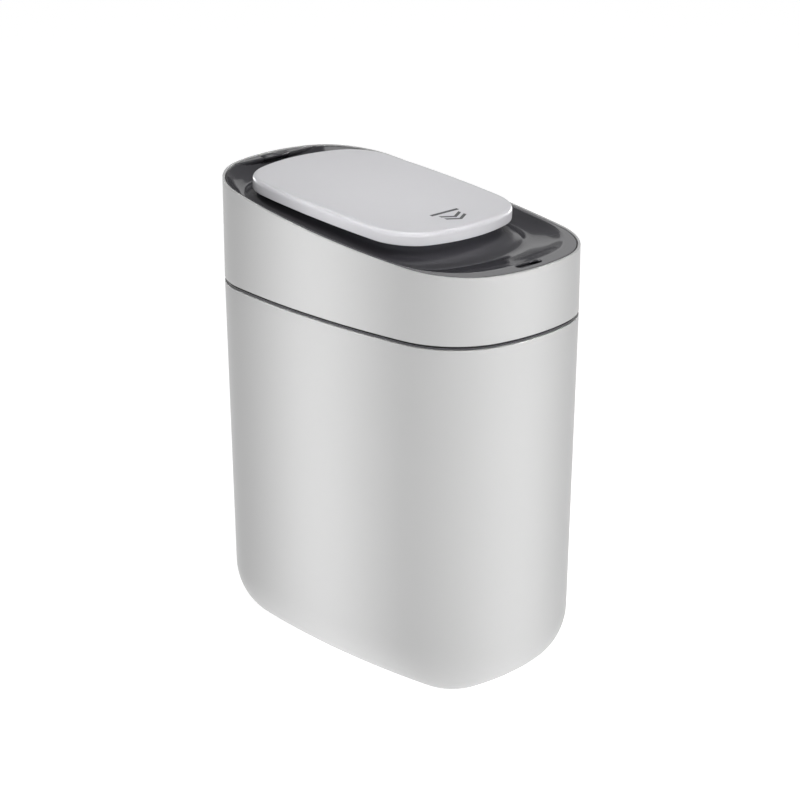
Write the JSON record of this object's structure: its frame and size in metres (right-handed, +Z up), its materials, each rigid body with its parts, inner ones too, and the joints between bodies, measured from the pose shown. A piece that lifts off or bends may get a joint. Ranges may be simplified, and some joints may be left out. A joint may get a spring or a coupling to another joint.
{
  "type": "trash compactor",
  "caption": "Slim free-standing bin with a hand-worked press plate in its lid: a pad on rods squeezes the refuse in a lift-out bucket under a hinged deck.",
  "frame": {"origin": "on the floor, in the middle of the footprint", "axes": "+X width, -Y front, +Y the high rear side with the hinge, +Z up"},
  "size_m": [0.189, 0.31, 0.4013],
  "materials": {
    "white_shell": "fine satin, off-white",
    "pad_light": "smooth matt, cool light grey",
    "deck_dark": "high gloss, cool dark grey",
    "dark_plastic": "satin dark grey",
    "grey_plastic": "satin mid grey",
    "black_rubber": "matt rubber",
    "steel": "brushed",
    "rod_chrome": "polished",
    "screw_steel": "zinc plated",
    "magnet_steel": "nickel plated",
    "filter_fabric": "black charcoal felt",
    "mark_grey": "dark grey inlay"
  },
  "bodies": {
    "bin_body": {"outer_shell": "white_shell", "foot_pads": "black_rubber"},
    "bucket": {"inner_bucket": "dark_plastic"},
    "bag_ring": {"bag_ring": "dark_plastic"},
    "head": {"collar": "white_shell", "head_frame": "dark_plastic", "head_seal": "black_rubber", "frame_screws": "screw_steel", "strike_plates": "steel", "hinge_pin": "steel"},
    "lid": {"deck": "deck_dark", "lid_liner": "grey_plastic", "liner_screws": "screw_steel", "guide_bushes": "grey_plastic", "rod_wipers": "black_rubber", "catch_magnets": "magnet_steel", "lid_bumpers": "black_rubber", "odour_filter": "filter_fabric", "filter_door_pin": "steel"},
    "lock": {"lid_lock": "dark_plastic"},
    "filter_door": {"filter_door": "grey_plastic"},
    "press": {"press_pad": "pad_light", "pad_base": "dark_plastic", "pad_mark": "mark_grey", "pad_screws": "screw_steel", "guide_rods": "rod_chrome", "press_plate": "grey_plastic", "plate_wiper": "black_rubber", "plate_screws": "screw_steel", "bump_stops": "black_rubber"}
  },
  "joints": [
    {"name": "bucket_lift", "type": "slide", "parent": "bin_body", "child": "bucket", "axis": [0, 0, 1], "range_m": [0, 0.32]},
    {"name": "ring_lift", "type": "slide", "parent": "bucket", "child": "bag_ring", "axis": [0, 0, 1], "range_m": [0, 0.15]},
    {"name": "head_lift", "type": "slide", "parent": "bag_ring", "child": "head", "axis": [0, 0, 1], "range_m": [0, 0.15]},
    {"name": "lid_hinge", "type": "hinge", "parent": "head", "child": "lid", "pos_m": [0, 0.1495, 0.3964], "axis": [-1, 0, 0], "range_deg": [0, 80]},
    {"name": "lock_slide", "type": "slide", "parent": "lid", "child": "lock", "axis": [1, 0, 0], "range_m": [0, 0.009]},
    {"name": "filter_door_hinge", "type": "hinge", "parent": "lid", "child": "filter_door", "pos_m": [0, -0.1342, 0.3413], "axis": [-1, 0, 0], "range_deg": [0, 80]},
    {"name": "press_slide", "type": "slide", "parent": "lid", "child": "press", "axis": [0, 0, 1], "range_m": [0, 0.055]}
  ]
}
